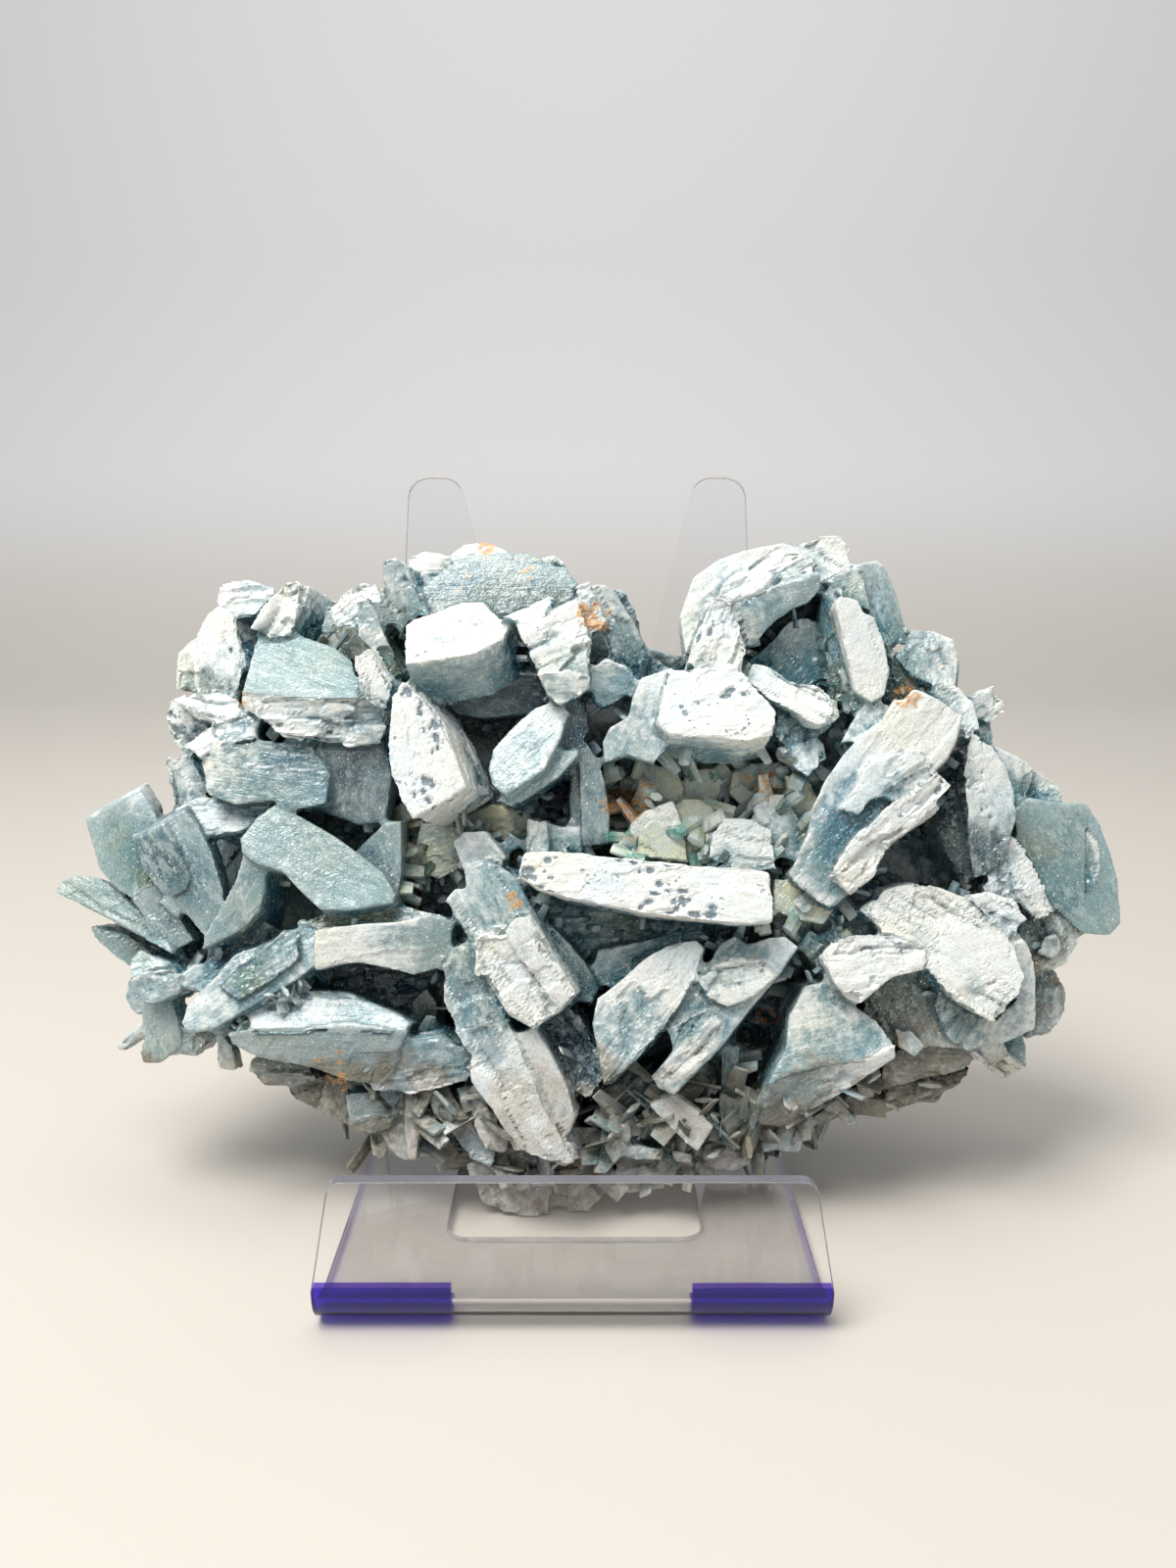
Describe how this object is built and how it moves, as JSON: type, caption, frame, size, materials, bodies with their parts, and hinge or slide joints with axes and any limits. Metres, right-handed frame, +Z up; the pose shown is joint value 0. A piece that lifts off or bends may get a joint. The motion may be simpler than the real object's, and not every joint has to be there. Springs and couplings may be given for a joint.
{
  "type": "mineral specimen on easel",
  "caption": "Cluster of thick tabular blue barite crystals grown together on their matrix, leaning in a clear bent-sheet display easel.",
  "frame": {"origin": "midway across the underside of the easel's front strip, on the surface it stands on", "axes": "+Z up; -Y is the front, the side that the crystals and the easel's lip face; +X to the right seen from the front"},
  "size_m": [0.2463, 0.1347, 0.1678],
  "materials": {
    "barite": "satin",
    "clear_acrylic": "gloss"
  },
  "bodies": {
    "root": {"barite_cluster": "barite", "display_stand": "clear_acrylic"}
  },
  "joints": []
}
